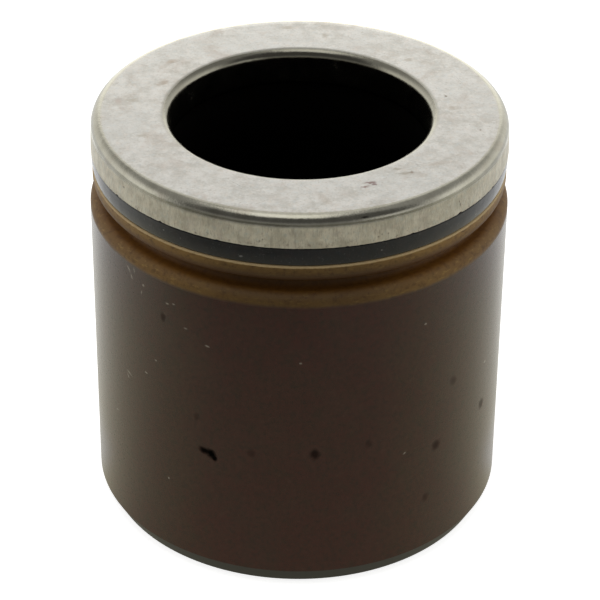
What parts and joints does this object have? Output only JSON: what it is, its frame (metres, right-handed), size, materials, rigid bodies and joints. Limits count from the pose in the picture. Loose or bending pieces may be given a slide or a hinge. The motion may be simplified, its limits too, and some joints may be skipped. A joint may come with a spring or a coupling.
{
  "type": "brake caliper piston",
  "caption": "Moulded resin caliper piston cup with a dust boot groove, a black insulator ring and a stamped stainless pad cap around an open mouth.",
  "frame": {"origin": "centre of the closed pressure face, on the piston's axis", "axes": "+Z along the piston's axis from the pressure face to the pad face; X and Y are interchangeable"},
  "size_m": [0.054, 0.054, 0.0554],
  "materials": {
    "phenolic": "dark brown phenolic resin, ground satin on the outside wall, lighter tan and as moulded in the boot groove",
    "elastomer": "black, smooth, semi-gloss",
    "stainless": "matt rolled sheet, faintly mottled, with drawn and scuffed skirt"
  },
  "bodies": {
    "root": {"piston_body": "phenolic", "insulator_ring": "elastomer", "steel_cap": "stainless"}
  },
  "joints": []
}
